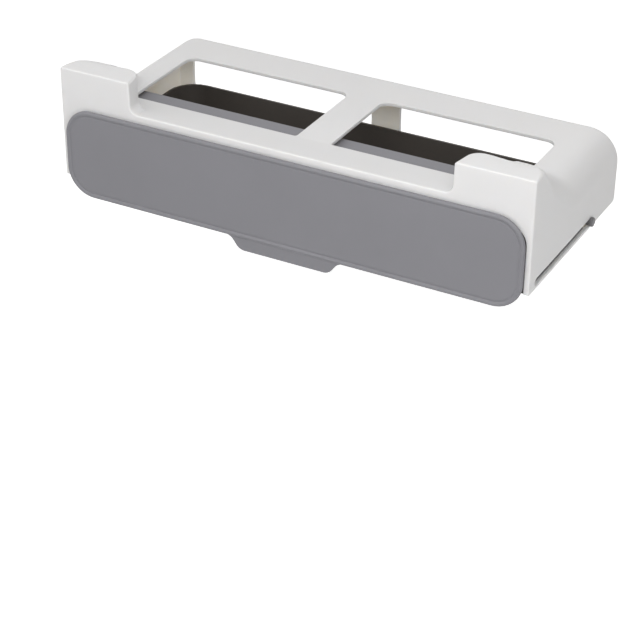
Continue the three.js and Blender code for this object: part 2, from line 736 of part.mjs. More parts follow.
function piece(group, name, body, material, place = [0, 0, 0], rotation = [0, 0, 0]) {
  const mesh = new THREE.Mesh(geometryOf(body), material.clone());
  mesh.name = name;
  mesh.position.set(...place);
  mesh.rotation.set(...rotation);
  group.add(mesh);
}

const QUARTER = Math.PI / 2;

const housing = new THREE.Group();
piece(housing, 'housing_shell', makeHousing(), PLASTIC_WHITE);
for (const [name, side] of SIDES) {
  piece(housing, `catch_magnet_${name}`, catchPlate(side, FIT / 2, MAGNET), STEEL);
}

const carriage = new THREE.Group();
const pin = makePin();
const washer = makeWasher();
const clip = makeClip();
const clipStart = clipSeat - FIT - CLIP;
for (const [name, side] of SIDES) {
  const washerStart = side > 0 ? washerInner : -washerInner - WASHER;
  const clipPlace = side > 0 ? clipStart : -clipStart - CLIP;
  const pinPlace = [side * pinStart, pinY, pinZ];
  piece(carriage, `guide_pin_${name}`, pin, PIN_GREY, pinPlace, [0, 0, -side * QUARTER]);
  piece(carriage, `pin_washer_${name}`, washer, NYLON, [washerStart, pinY, pinZ]);
  piece(carriage, `pin_clip_${name}`, clip, STEEL, [clipPlace, pinY, pinZ]);
}

const tray = new THREE.Group();
piece(tray, 'tray_bin', makeTray(), PLASTIC_DARK);
piece(tray, 'front_panel', makePanel(), PLASTIC_GREY);
piece(tray, 'retaining_rail', makeRail(), PLASTIC_GREY);
const wallScrew = panScrew(TRAY_WALL + 2 * FIT + SCREW_BITE);
const railScrew = turned(sunkProfile(0, RAIL + RAIL_SCREW_LENGTH, 0));
const screwFace = trayHalf - TRAY_WALL - FIT;
for (const [name, side] of SIDES) {
  piece(tray, `runner_${name}`, makeRunner(side), PLASTIC_DARK);
  piece(tray, `strike_plate_${name}`, catchPlate(side, -PANEL_GAP - STRIKE, STRIKE), STEEL);
  RUNNER_SCREW_DEPTHS.forEach((y, i) => {
    const place = [side * screwFace, y, runnerScrewZ];
    piece(tray, `runner_screw_${name}_${i + 1}`, wallScrew, STEEL, place, [0, 0, side * QUARTER]);
  });
  PANEL_SCREW_HEIGHTS.forEach((z, i) => {
    const place = [side * panelScrewX, TRAY_STANDOFF + TRAY_WALL + FIT, z];
    piece(tray, `panel_screw_${name}_${i + 1}`, wallScrew, STEEL, place);
  });
  const place = [side * railScrewX, railScrewY, railTop];
  piece(tray, `rail_screw_${name}`, railScrew, STEEL, place, [QUARTER, 0, 0]);
}

// The origin is on the bar between the windows, where the top plate meets the shelf
const rack = new THREE.Group();
rack.position.set(0, -mountY, -PLATE_TOP);
rack.add(housing, carriage, tray);

export default rack;
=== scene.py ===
"""Looks of a pull-out spice rack that hangs beneath a shelf.

A white moulded housing with two windows and raised ears carries a grey-fronted tray, which slides out on
two pins and then tips down. Lengths are metres in the rack's own frame: x across, y to the back, z up to
the shelf.
"""
import json
import math
from contextlib import contextmanager

import bmesh
import bpy
from mathutils import Matrix, Vector


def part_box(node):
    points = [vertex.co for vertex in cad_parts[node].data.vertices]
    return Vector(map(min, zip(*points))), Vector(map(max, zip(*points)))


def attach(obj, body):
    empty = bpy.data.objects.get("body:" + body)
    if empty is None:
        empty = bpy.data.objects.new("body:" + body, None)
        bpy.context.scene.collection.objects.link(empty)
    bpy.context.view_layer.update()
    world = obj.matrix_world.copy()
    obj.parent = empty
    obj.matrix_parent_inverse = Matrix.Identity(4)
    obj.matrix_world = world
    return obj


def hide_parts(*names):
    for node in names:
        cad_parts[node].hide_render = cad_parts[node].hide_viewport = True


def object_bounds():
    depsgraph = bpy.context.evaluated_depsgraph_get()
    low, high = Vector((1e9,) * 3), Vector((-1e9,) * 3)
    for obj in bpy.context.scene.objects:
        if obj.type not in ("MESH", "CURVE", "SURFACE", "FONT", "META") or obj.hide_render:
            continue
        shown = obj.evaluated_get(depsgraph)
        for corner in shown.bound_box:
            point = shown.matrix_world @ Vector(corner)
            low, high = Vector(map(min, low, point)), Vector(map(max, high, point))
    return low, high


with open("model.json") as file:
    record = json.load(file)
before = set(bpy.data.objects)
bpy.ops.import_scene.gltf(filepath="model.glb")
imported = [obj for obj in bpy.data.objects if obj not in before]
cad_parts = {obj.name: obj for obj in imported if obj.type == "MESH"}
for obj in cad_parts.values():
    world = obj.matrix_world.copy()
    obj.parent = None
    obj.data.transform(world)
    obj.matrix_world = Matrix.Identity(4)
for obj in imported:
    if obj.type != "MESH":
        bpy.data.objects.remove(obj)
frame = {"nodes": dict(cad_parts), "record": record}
cad_low, cad_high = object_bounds()

MM = 0.001

# Camera, at the photograph's viewing angle
CAMERA_PLACE = Vector((0.5389, -1.0423, 0.5520))
CAMERA_AZIMUTH = math.radians(27.934)
CAMERA_ELEVATION = math.radians(31.105)
CAMERA_ROLL = math.radians(0.608)
CAMERA_LENS = 109.82
CAMERA_SENSOR = 36

# Light and stage
DOME_STRENGTH = 0.40
# Each lamp's azimuth from the front towards the right, elevation, distance, width and power
LAMPS = {
    "right key": (30, 42, 0.75, 0.7, 3.3),
    "left key": (-35, 42, 0.75, 0.7, 1.65),
    "right fill": (45, 8, 0.75, 0.6, 0.5),
    "left fill": (-75, 28, 2.0, 1.0, 3.0),
    "back fill": (180, 25, 2.0, 1.2, 3.0),
}
FLOOR_DROP = 0.16
FLOOR_SIZE = 12
FLOOR_COLOUR = (0.86, 0.86, 0.86, 1)
FLOOR_LIFT = 0.6

# Finishes, as linear colours
WHITE = (0.740, 0.732, 0.728, 1)
WHITE_DEEP = (0.712, 0.704, 0.700, 1)
# Painted warm light: the housing's inward faces get a brighter, warmer white than its outside, standing in
# for the warm bounce light inside it
WHITE_PAINTED_INNER_LIGHT = (0.88, 0.845, 0.79, 1)
WHITE_PAINTED_INNER_LIGHT_DEEP = (0.85, 0.815, 0.76, 1)
GREY = (0.201, 0.199, 0.216, 1)
GREY_DEEP = (0.189, 0.187, 0.203, 1)
DARK = (0.080, 0.071, 0.063, 1)
DARK_DEEP = (0.069, 0.061, 0.054, 1)
# Painted shade: the runners are dark plastic like the tray, coloured near black so that the gap seen
# through the side slots reads as deep shade
RUNNER_PAINTED_SHADE = (0.030, 0.028, 0.027, 1)
RUNNER_PAINTED_SHADE_DEEP = (0.024, 0.023, 0.022, 1)
PIN = (0.150, 0.148, 0.153, 1)
PIN_DEEP = (0.125, 0.124, 0.128, 1)
NATURAL = (0.66, 0.63, 0.55, 1)
NATURAL_DEEP = (0.58, 0.55, 0.47, 1)
STEEL = (0.62, 0.62, 0.63, 1)
STEEL_DEEP = (0.46, 0.46, 0.47, 1)

# How far light spreads within a thin white wall
GLOW_OUTSIDE = 0.3
# The stronger glow on the inward faces is part of their painted warm light
GLOW_INSIDE = 1.0
GLOW_DEPTH = 6 * MM
GLOW_REACH = (1.0, 0.92, 0.8)

# Moulded grain and its slow drift in tone and gloss, with scales per metre
GRAIN_SCALE = 1800
GRAIN_DETAIL = 2
GRAIN_STRENGTH = 0.35
DRIFT_SCALE = 14
DRIFT_DETAIL = 3
DRIFT_ROUGHNESS = 0.55
DRIFT_LOW = 0.3
DRIFT_HIGH = 0.7
ROUGH_LESS = 0.04
ROUGH_MORE = 0.05

# How the pieces are finished
QUARTER = math.pi / 2
MERGE_GAP = 0.001 * MM
FLAT_ANGLE = math.radians(0.3)
CREASE = math.radians(38)
SHARP = math.radians(50)
FACING = 0.9  # cosine within which a face looks along a direction
ROUND_PROFILE = 0.5
BROAD_FACE_WEIGHT = 80
EASE_SEGMENTS = 2

# The small round on the sharp edges of the pieces that keep their solids' form
HOUSING_EASE = 0.35 * MM
EASING = {
    "tray_bin": 0.45 * MM,
    "retaining_rail": 0.2 * MM,
    "runner": 0.3 * MM,
    "catch_magnet": 0.25 * MM,
    "strike_plate": 0.15 * MM,
    "pin_washer": 0.2 * MM,
    "pin_clip": 0.12 * MM,
}

# Housing
PLATE_DEPTH = 2.6 * MM
TURNED_IN = 0.5  # cosine beyond which a face looks inwards

# Front panel
PANEL_THICKNESS = 2 * MM
PANEL_CORNER = 20 * MM
PANEL_CORNER_STEPS = 18
PANEL_BACK_EDGE = 0.5 * MM
BEAD_WIDTH = 3.5 * MM
BEAD_RISE = 0.6 * MM
BEAD_STEPS = 8
GROOVE_WIDTH = 0.7 * MM
GROOVE_DEPTH = 0.3 * MM
GROOVE_STEEP = 0.8  # share of the depth in the groove's steeper step
TAB_DROP = 9.1 * MM
TAB_THICKNESS = 1.6 * MM
TAB_TOP_WIDTH = 80 * MM
TAB_BOTTOM_WIDTH = 66 * MM
TAB_CORNER = 7 * MM
TAB_CORNER_STEPS = 10
TAB_EDGE = 0.3 * MM
TAB_EDGE_LEAN = 0.3  # share of the edge's width in its steeper step
TAB_SPANS = 3
SPLAY_INSIDE = 0.9  # share of the splay that leaves out its ends
BOSS_DIAMETER = 7 * MM
BOSS_HOLE = 3.2 * MM
BOSS_HOLE_SHARE = 0.8  # depth of the hole as a share of the boss
BOSS_STEPS = 32
POCKET_GAP = 0.3 * MM

# Screws and guide pins, drawn with their tops at height 0
TURNED_STEPS = 48
ROUND_STEPS = 6
SCREW_RADIUS = 1.3 * MM
SCREW_HEAD_RADIUS = 2.6 * MM
SCREW_HEAD = 1.6 * MM
SCREW_HEAD_ROUND = 0.9 * MM
SCREW_POINT = 0.1 * MM
CROSS_REACH = 2.9 * MM
CROSS_WIDTH = 0.62 * MM
CROSS_DEPTH = 1.0 * MM
CROSS_TAPER = 0.55
PIN_RADIUS = 2.3 * MM
PIN_HEAD_RADIUS = 3.2 * MM
PIN_HEAD = 2.1 * MM
PIN_HEAD_ROUND = 0.8 * MM
PIN_TAIL = 2.3 * MM
PIN_GROOVE = 1.4 * MM
PIN_GROOVE_DEPTH = 0.6 * MM
PIN_CHAMFER = 0.5 * MM

record = frame["record"]
slot_of = {part["node"]: part["material_slot"] for part in record["subparts"]}
body_of = {node: body for body, nodes in record["behaviour"]["bodies"].items() for node in nodes}


# Working by hand in edit mode

def activate(piece):
    bpy.ops.object.select_all(action="DESELECT")
    piece.select_set(True)
    bpy.context.view_layer.objects.active = piece


@contextmanager
def editing(piece, kind="FACE"):
    """Edit mode with nothing selected, set to pick vertices, edges or faces."""
    activate(piece)
    bpy.ops.object.mode_set(mode="EDIT")
    bpy.ops.mesh.select_mode(type=kind)
    bpy.ops.mesh.select_all(action="DESELECT")
    yield
    bpy.ops.object.mode_set(mode="OBJECT")


def pick(piece, kind, wanted):
    """Selects the verts, edges or faces of the mesh in edit mode that a test accepts."""
    bpy.ops.mesh.select_all(action="DESELECT")
    mesh = bmesh.from_edit_mesh(piece.data)
    for part in getattr(mesh, kind):
        if wanted(part):
            part.select_set(True)
    mesh.select_flush_mode()
    bmesh.update_edit_mesh(piece.data)


def named(name):
    """Names the primitive just added, and puts its place, turn and size into its mesh."""
    piece = bpy.context.active_object
    piece.name = name
    piece.data.name = name
    bpy.ops.object.transform_apply(location=True, rotation=True, scale=True)
    return piece


def apply_modifier(piece, kind, **settings):
    activate(piece)
    modifier = piece.modifiers.new(kind.lower(), kind)
    for key, value in settings.items():
        setattr(modifier, key, value)
    bpy.ops.object.modifier_apply(modifier=modifier.name)


def combine(piece, other, operation):
    """Joins, cuts or keeps what two solids share, and uses the second one up."""
    apply_modifier(piece, "BOOLEAN", object=other, operation=operation, solver="EXACT")
    bpy.data.objects.remove(other, do_unlink=True)


def smooth(piece):
    """Round stretches shade as round and flat ones as flat."""
    activate(piece)
    bpy.ops.object.shade_smooth_by_angle(angle=CREASE)
    apply_modifier(piece, "WEIGHTED_NORMAL", keep_sharp=True, weight=BROAD_FACE_WEIGHT)


def seat(piece, material, *nodes):
    """Gives a piece its finish, unless it has one, and the places of the nodes that it stands for."""
    if not piece.data.materials:
        piece.data.materials.append(material)
    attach(piece, body_of[nodes[0]])
    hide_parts(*nodes)


def eased_copy(node, name, width):
    """A node's own form as one welded mesh, with its sharp edges eased to a small round."""
    piece = bpy.data.objects.new(name, frame["nodes"][node].data.copy())
    piece.data.name = name
    piece.data.materials.clear()
    bpy.context.scene.collection.objects.link(piece)
    activate(piece)
    bpy.ops.mesh.customdata_custom_splitnormals_clear()
    with editing(piece):
        bpy.ops.mesh.select_all(action="SELECT")
        bpy.ops.mesh.remove_doubles(threshold=MERGE_GAP)
        bpy.ops.mesh.dissolve_limited(angle_limit=FLAT_ANGLE)
    apply_modifier(
        piece, "BEVEL", width=width, segments=EASE_SEGMENTS, limit_method="ANGLE", angle_limit=SHARP,
        use_clamp_overlap=False, miter_outer="MITER_ARC",
    )
    with editing(piece):
        bpy.ops.mesh.select_all(action="SELECT")
        bpy.ops.mesh.remove_doubles(threshold=MERGE_GAP)
    smooth(piece)
    return piece


# Effects that several finishes share

def new_group(name, inputs, outputs):
    group = bpy.data.node_groups.new(name, "ShaderNodeTree")
    for label, value in inputs:
        socket = group.interface.new_socket(label, in_out="INPUT", socket_type="NodeSocketFloat")
        socket.default_value = value
    for label in outputs:
        group.interface.new_socket(label, in_out="OUTPUT", socket_type="NodeSocketFloat")
    return group, group.nodes.new("NodeGroupInput"), group.nodes.new("NodeGroupOutput")


def make_grain_group():
    """Fine spark-eroded grain of a moulding, and the slow drift of its tone and gloss."""
    inputs = [("Grain Scale", GRAIN_SCALE), ("Drift Scale", DRIFT_SCALE)]
    group, given, put = new_group("moulded grain", inputs, ["Height", "Drift"])
    nodes, links = group.nodes, group.links
    place = nodes.new("ShaderNodeTexCoord")
    grain = nodes.new("ShaderNodeTexNoise")
    grain.inputs["Detail"].default_value = GRAIN_DETAIL
    pits = nodes.new("ShaderNodeTexVoronoi")
    pits.feature = "SMOOTH_F1"
    drift = nodes.new("ShaderNodeTexNoise")
    drift.inputs["Detail"].default_value = DRIFT_DETAIL
    drift.inputs["Roughness"].default_value = DRIFT_ROUGHNESS
    both = nodes.new("ShaderNodeMath")
    both.operation = "ADD"
    for texture in (grain, pits, drift):
        links.new(place.outputs["Object"], texture.inputs["Vector"])
    links.new(given.outputs["Grain Scale"], grain.inputs["Scale"])
    links.new(given.outputs["Grain Scale"], pits.inputs["Scale"])
    links.new(given.outputs["Drift Scale"], drift.inputs["Scale"])
    links.new(grain.outputs["Fac"], both.inputs[0])
    links.new(pits.outputs["Distance"], both.inputs[1])
    links.new(both.outputs["Value"], put.inputs["Height"])
    links.new(drift.outputs["Fac"], put.inputs["Drift"])
    return group


def add_group(tree, group, **values):
    node = tree.nodes.new("ShaderNodeGroup")
    node.node_tree = group
    for label, value in values.items():
        node.inputs[label.replace("_", " ")].default_value = value
    return node


def ramp(tree, source, low, high):
    """The slow drift, spread between two values."""
    node = tree.nodes.new("ShaderNodeMapRange")
    node.inputs["From Min"].default_value = DRIFT_LOW
    node.inputs["From Max"].default_value = DRIFT_HIGH
    node.inputs["To Min"].default_value = low
    node.inputs["To Max"].default_value = high
    tree.links.new(source, node.inputs["Value"])
    return node.outputs["Result"]


def moulded(name, colour, deep, rough, grain_scale, grain_depth, metal=0, glow=0):
    """Moulded plastic or plated metal: grained, with a slight drift in tone and gloss."""
    material = bpy.data.materials.new(name)
    material.use_nodes = True
    tree = material.node_tree
    shader = tree.nodes["Principled BSDF"]
    shader.inputs["Metallic"].default_value = metal
    shader.inputs["Subsurface Weight"].default_value = glow
    shader.inputs["Subsurface Radius"].default_value = GLOW_REACH
    shader.inputs["Subsurface Scale"].default_value = GLOW_DEPTH
    grain = add_group(tree, grain_group, Grain_Scale=grain_scale)
    tone = tree.nodes.new("ShaderNodeMix")
    tone.data_type = "RGBA"
    tone.inputs["A"].default_value = deep
    tone.inputs["B"].default_value = colour
    tree.links.new(ramp(tree, grain.outputs["Drift"], 0, 1), tone.inputs["Factor"])
    tree.links.new(tone.outputs["Result"], shader.inputs["Base Color"])
    gloss = ramp(tree, grain.outputs["Drift"], rough - ROUGH_LESS, rough + ROUGH_MORE)
    tree.links.new(gloss, shader.inputs["Roughness"])
    bump = tree.nodes.new("ShaderNodeBump")
    bump.inputs["Strength"].default_value = GRAIN_STRENGTH
    bump.inputs["Distance"].default_value = grain_depth
    tree.links.new(grain.outputs["Height"], bump.inputs["Height"])
    tree.links.new(bump.outputs["Normal"], shader.inputs["Normal"])
    return material


# Pieces

def make_housing():
    """The housing, with painted warm light on the faces that look inwards: a brighter, warmer white than
    outside.
    """
    piece = eased_copy("housing_shell", "rack_housing", HOUSING_EASE)
    piece.data.materials.append(finishes["white_plastic"])
    piece.data.materials.append(white_painted_inner_light)
    low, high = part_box("housing_shell")
    middle = (low + high) / 2
    for face in piece.data.polygons:
        outward = face.center - middle
        sideways = face.normal.x * math.copysign(1, outward.x)
        from_ends = face.normal.y * math.copysign(1, outward.y)
        # The faces that look inwards, under the plate and on its underside, take the white with painted
        # warm light
        under_plate = face.center.z < -PLATE_DEPTH and min(sideways, from_ends) < -TURNED_IN
        ceiling = face.center.z > -2 * PLATE_DEPTH and face.normal.z < -TURNED_IN
        if under_plate or ceiling:
            face.material_index = 1
    seat(piece, finishes["white_plastic"], "housing_shell")


def rounded_plate(name, half_width, bottom, top, y, corner, steps):
    """A flat face towards the front with round corners."""
    middle = (0, y, (bottom + top) / 2)
    bpy.ops.mesh.primitive_plane_add(size=1, location=middle, rotation=(QUARTER, 0, 0))
    bpy.context.active_object.scale = (2 * half_width, top - bottom, 1)
    piece = named(name)
    with editing(piece, "VERT"):
        bpy.ops.mesh.select_all(action="SELECT")
        bpy.ops.mesh.bevel(
            offset_type="ABSOLUTE", offset=corner, segments=steps, profile=ROUND_PROFILE, affect="VERTICES",
        )
    return piece


def step_in(thickness, rise):
    bpy.ops.mesh.inset(thickness=thickness, depth=rise, use_even_offset=True, use_boundary=True)


def make_panel_plate(low, high):
    """The plate, with a raised bead round its edge and a fine groove inside the bead."""
    back = low.y + BEAD_RISE + PANEL_THICKNESS
    shoulder = back - PANEL_THICKNESS / 2
    outline_y = back - PANEL_BACK_EDGE
    bottom = low.z + TAB_DROP
    plate = rounded_plate(
        "front_panel_piece", high.x, bottom, high.z, outline_y, PANEL_CORNER, PANEL_CORNER_STEPS,
    )
    crest = BEAD_WIDTH / 2
    climb = shoulder - low.y
    with editing(plate):
        bpy.ops.mesh.select_all(action="SELECT")
        bpy.ops.mesh.extrude_region_move(TRANSFORM_OT_translate={"value": (0, shoulder - outline_y, 0)})
        for k in range(BEAD_STEPS):
            turn, further = QUARTER * k / BEAD_STEPS, QUARTER * (k + 1) / BEAD_STEPS
            inwards = crest * (math.cos(turn) - math.cos(further))
            step_in(inwards, climb * (math.sin(further) - math.sin(turn)))
        fall = BEAD_RISE + GROOVE_DEPTH
        for k in range(BEAD_STEPS):
            turn, further = math.pi * k / BEAD_STEPS, math.pi * (k + 1) / BEAD_STEPS
            step_in(crest / BEAD_STEPS, fall * (math.cos(further) - math.cos(turn)) / 2)
        step_in(GROOVE_WIDTH / 2, 0)
        step_in(GROOVE_WIDTH / 2, GROOVE_DEPTH * GROOVE_STEEP)
        step_in(GROOVE_WIDTH / 2, GROOVE_DEPTH * (1 - GROOVE_STEEP))
    with editing(plate, "EDGE"):
        pick(plate, "edges", lambda edge: edge.is_boundary)
        bpy.ops.mesh.edge_face_add()
        bpy.ops.mesh.select_all(action="SELECT")
        bpy.ops.mesh.normals_make_consistent(inside=False)
    with editing(plate):
        pick(plate, "faces", lambda face: face.normal.y > FACING)
        step_in(PANEL_BACK_EDGE, PANEL_BACK_EDGE)
    return plate


def make_tab(low, back):
    """The pull tab: a thinner plate that hangs below the bead, its foot splayed into the panel."""
    root = low.z + TAB_DROP + TAB_EDGE
    high = root + BEAD_WIDTH
    middle = (root + high) / 2
    splay = TAB_TOP_WIDTH / 2 + 2 * TAB_CORNER
    inside = splay * SPLAY_INSIDE
    bpy.ops.mesh.primitive_grid_add(
        x_subdivisions=TAB_SPANS, y_subdivisions=1, size=1, location=(0, back, middle),
        rotation=(QUARTER, 0, 0),
    )
    bpy.context.active_object.scale = (2 * splay, high - root, 1)
    tab = named("pull_tab")
    with editing(tab, "VERT"):
        pick(tab, "verts", lambda vert: abs(vert.co.x) < inside)
        widen = TAB_TOP_WIDTH / (2 * splay / TAB_SPANS)
        bpy.ops.transform.resize(value=(widen, 1, 1), center_override=(0, back, root))
        pick(tab, "verts", lambda vert: abs(vert.co.x) < inside and vert.co.z < middle)
        bpy.ops.mesh.select_mode(type="EDGE")
        bpy.ops.mesh.extrude_edges_move(TRANSFORM_OT_translate={"value": (0, 0, low.z - root)})
        narrow = TAB_BOTTOM_WIDTH / TAB_TOP_WIDTH
        bpy.ops.transform.resize(value=(narrow, 1, 1), center_override=(0, back, low.z))
        bpy.ops.mesh.select_mode(type="VERT")
        bpy.ops.mesh.select_all(action="SELECT")
        bpy.ops.mesh.dissolve_limited(angle_limit=FLAT_ANGLE)
        pick(tab, "verts", lambda vert: vert.co.z < root + TAB_EDGE and abs(vert.co.x) < inside)
        lean = math.atan2(root - low.z, (TAB_TOP_WIDTH - TAB_BOTTOM_WIDTH) / 2)
        bpy.ops.mesh.bevel(
            offset_type="ABSOLUTE", offset=TAB_CORNER * math.tan(lean / 2), segments=TAB_CORNER_STEPS,
            profile=ROUND_PROFILE, affect="VERTICES",
        )
        bpy.ops.mesh.select_mode(type="FACE")
        bpy.ops.mesh.select_all(action="SELECT")
        bpy.ops.mesh.extrude_region_move(
            TRANSFORM_OT_translate={"value": (0, TAB_EDGE - TAB_THICKNESS, 0)},
        )
        step_in(TAB_EDGE * TAB_EDGE_LEAN, TAB_EDGE * (1 - TAB_EDGE_LEAN))
        step_in(TAB_EDGE * (1 - TAB_EDGE_LEAN), TAB_EDGE * TAB_EDGE_LEAN)
    with editing(tab, "EDGE"):
        pick(tab, "edges", lambda edge: edge.is_boundary)
        bpy.ops.mesh.edge_face_add()
        bpy.ops.mesh.select_all(action="SELECT")
        bpy.ops.mesh.normals_make_consistent(inside=False)
    return tab


def make_front_panel():
    low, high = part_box("front_panel")
    back = low.y + BEAD_RISE + PANEL_THICKNESS
    panel = make_panel_plate(low, high)
    combine(panel, make_tab(low, back - TAB_EDGE / 2), "UNION")
    for side in ("left", "right"):
        for place in (1, 2):
            screw_low, screw_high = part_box(f"panel_screw_{side}_{place}")
            middle = (screw_low + screw_high) / 2
            combine(panel, make_boss(middle, back - PANEL_THICKNESS / 2, high.y), "UNION")
        strike_low, strike_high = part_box(f"strike_plate_{side}")
        combine(panel, make_pocket(strike_low, strike_high, back), "DIFFERENCE")
    smooth(panel)
    seat(panel, finishes["grey_plastic"], "front_panel")


def make_boss(middle, from_y, to_y):
    """A screw boss on the panel's back, with its hole."""
    place = (middle.x, (from_y + to_y) / 2, middle.z)
    length = to_y - from_y
    bpy.ops.mesh.primitive_cylinder_add(
        vertices=BOSS_STEPS, radius=BOSS_DIAMETER / 2, depth=length, location=place,
        rotation=(QUARTER, 0, 0),
    )
    boss = named("panel_boss")
    with editing(boss):
        pick(boss, "faces", lambda face: face.normal.y > FACING)
        bpy.ops.mesh.inset(thickness=(BOSS_DIAMETER - BOSS_HOLE) / 2)
        sink = -length * BOSS_HOLE_SHARE
        bpy.ops.mesh.extrude_region_move(TRANSFORM_OT_translate={"value": (0, sink, 0)})
    return boss


def make_pocket(low, high, back):
    """The recess that a strike plate is let into."""
    middle = (low + high) / 2
    bpy.ops.mesh.primitive_cube_add(size=1, location=(middle.x, (low.y + back) / 2, middle.z))
    room = 2 * POCKET_GAP
    bpy.context.active_object.scale = (high.x - low.x + room, back - low.y + room, high.z - low.z + room)
    return named("strike_pocket")


def turned(name, profile):
    """A round solid about the z axis, drawn up ring by ring through pairs of radius and height."""
    radius, height = profile[0]
    bpy.ops.object.select_all(action="DESELECT")
    bpy.ops.mesh.primitive_circle_add(
        vertices=TURNED_STEPS, radius=radius, fill_type="NGON", location=(0, 0, height),
    )
    piece = named(name)
    with editing(piece):
        bpy.ops.mesh.select_all(action="SELECT")
        for wide, high in profile[1:]:
            bpy.ops.mesh.extrude_region_move(TRANSFORM_OT_translate={"value": (0, 0, high - height)})
            bpy.ops.transform.resize(value=(wide / radius, wide / radius, 1), center_override=(0, 0, high))
            radius, height = wide, high
        bpy.ops.mesh.select_all(action="SELECT")
        bpy.ops.mesh.fill_holes(sides=0)
        bpy.ops.mesh.normals_make_consistent(inside=False)
    return piece


def rounded_top(radius, rounding):
    """Rings of a head's round edge, up to height 0."""
    turns = [QUARTER * k / ROUND_STEPS for k in range(ROUND_STEPS + 1)]
    return [(radius - rounding * (1 - math.cos(turn)), rounding * (math.sin(turn) - 1)) for turn in turns]


def cut_cross(screw):
    """The cross recess in a screw's head, tapered to its foot."""
    for turn in (0, QUARTER):
        bpy.ops.object.select_all(action="DESELECT")
        bpy.ops.mesh.primitive_cube_add(size=1, rotation=(0, 0, turn))
        bpy.context.active_object.scale = (CROSS_REACH, CROSS_WIDTH, 2 * CROSS_DEPTH)
        bar = named("cross_bar")
        with editing(bar):
            pick(bar, "faces", lambda face: face.normal.z < -FACING)
            taper = (CROSS_TAPER, CROSS_TAPER, 1)
            bpy.ops.transform.resize(value=taper, center_override=(0, 0, -CROSS_DEPTH))
        combine(screw, bar, "DIFFERENCE")


def length_along(node, direction):
    low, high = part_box(node)
    return abs((high - low).dot(direction))


def stand(piece, node, direction):
    """Seats a piece that is drawn upright in a node's place, with its top towards a direction."""
    low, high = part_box(node)
    top = (low + high) / 2 + direction * length_along(node, direction) / 2
    piece.matrix_world = Matrix.Translation(top) @ direction.to_track_quat("Z", "Y").to_matrix().to_4x4()
    activate(piece)
    bpy.ops.object.transform_apply(location=True, rotation=True, scale=True)
    smooth(piece)
    seat(piece, finishes[slot_of[node]], node)


def make_pan_screw(node, direction):
    point = -length_along(node, direction)
    screw = turned(f"{node}_piece", [
        (SCREW_POINT, point),
        (SCREW_RADIUS, point + SCREW_RADIUS),
        (SCREW_RADIUS, -SCREW_HEAD),
        (SCREW_HEAD_RADIUS, -SCREW_HEAD),
        *rounded_top(SCREW_HEAD_RADIUS, SCREW_HEAD_ROUND),
    ])
    cut_cross(screw)
    stand(screw, node, direction)


def make_sunk_screw(node, direction):
    point = -length_along(node, direction)
    screw = turned(f"{node}_piece", [
        (SCREW_POINT, point),
        (SCREW_RADIUS, point + SCREW_RADIUS),
        (SCREW_RADIUS, SCREW_RADIUS - SCREW_HEAD_RADIUS),
        (SCREW_HEAD_RADIUS, 0),
    ])
    cut_cross(screw)
    stand(screw, node, direction)


def make_pin(node, direction):
    """A guide pin: a rounded head outside the wall, a plain shank and the clip's groove near its tail."""
    tail = -length_along(node, direction)
    thin = PIN_RADIUS - PIN_GROOVE_DEPTH
    pin = turned(f"{node}_piece", [
        (PIN_RADIUS - PIN_CHAMFER, tail),
        (PIN_RADIUS, tail + PIN_CHAMFER),
        (PIN_RADIUS, tail + PIN_TAIL - PIN_GROOVE),
        (thin, tail + PIN_TAIL - PIN_GROOVE),
        (thin, tail + PIN_TAIL),
        (PIN_RADIUS, tail + PIN_TAIL),
        (PIN_RADIUS, -PIN_HEAD),
        (PIN_HEAD_RADIUS, -PIN_HEAD),
        *rounded_top(PIN_HEAD_RADIUS, PIN_HEAD_ROUND),
    ])
    stand(pin, node, direction)


def make_turned_pieces():
    for side, outward in (("left", Vector((-1, 0, 0))), ("right", Vector((1, 0, 0)))):
        make_pin(f"guide_pin_{side}", outward)
        make_sunk_screw(f"rail_screw_{side}", Vector((0, 0, 1)))
        for place in (1, 2):
            make_pan_screw(f"runner_screw_{side}_{place}", -outward)
            make_pan_screw(f"panel_screw_{side}_{place}", Vector((0, 1, 0)))


def make_plain_pieces():
    """The tray and the small pieces whose own form is right: each gets eased edges and its finish, the
    runners a near black with painted shade.
    """
    for kind, width in EASING.items():
        for node in (kind, f"{kind}_left", f"{kind}_right"):
            if node in body_of:
                piece = eased_copy(node, f"{node}_piece", width)
                # The runners take the near black with painted shade in place of their dark plastic finish
                seat(piece, runner_painted_shade if kind == "runner" else finishes[slot_of[node]], node)


# Stage

def make_camera():
    camera = bpy.data.objects.new("camera", bpy.data.cameras.new("camera"))
    bpy.context.scene.collection.objects.link(camera)
    camera.data.lens = CAMERA_LENS
    camera.data.sensor_width = CAMERA_SENSOR
    tip = Matrix.Rotation(QUARTER - CAMERA_ELEVATION, 4, "X")
    turn = Matrix.Rotation(CAMERA_AZIMUTH, 4, "Z") @ tip @ Matrix.Rotation(CAMERA_ROLL, 4, "Z")
    camera.matrix_world = Matrix.Translation(CAMERA_PLACE) @ turn
    bpy.context.scene.camera = camera


def seen_directly(tree):
    """1 for what the camera sees, also in a gloss or through glass, and 0 for light on things."""
    path = tree.nodes.new("ShaderNodeLightPath")
    value = path.outputs["Is Camera Ray"]
    for ray in ("Is Glossy Ray", "Is Transmission Ray"):
        larger = tree.nodes.new("ShaderNodeMath")
        larger.operation = "MAXIMUM"
        tree.links.new(value, larger.inputs[0])
        tree.links.new(path.outputs[ray], larger.inputs[1])
        value = larger.outputs["Value"]
    return value


def make_world():
    world = bpy.data.worlds.new("studio")
    bpy.context.scene.world = world
    world.use_nodes = True
    tree = world.node_tree
    sky = tree.nodes["Background"]
    level = tree.nodes.new("ShaderNodeMapRange")
    level.inputs["To Min"].default_value = DOME_STRENGTH
    level.inputs["To Max"].default_value = 1
    tree.links.new(seen_directly(tree), level.inputs["Value"])
    tree.links.new(level.outputs["Result"], sky.inputs["Strength"])
    sky.inputs["Color"].default_value = (1, 1, 1, 1)


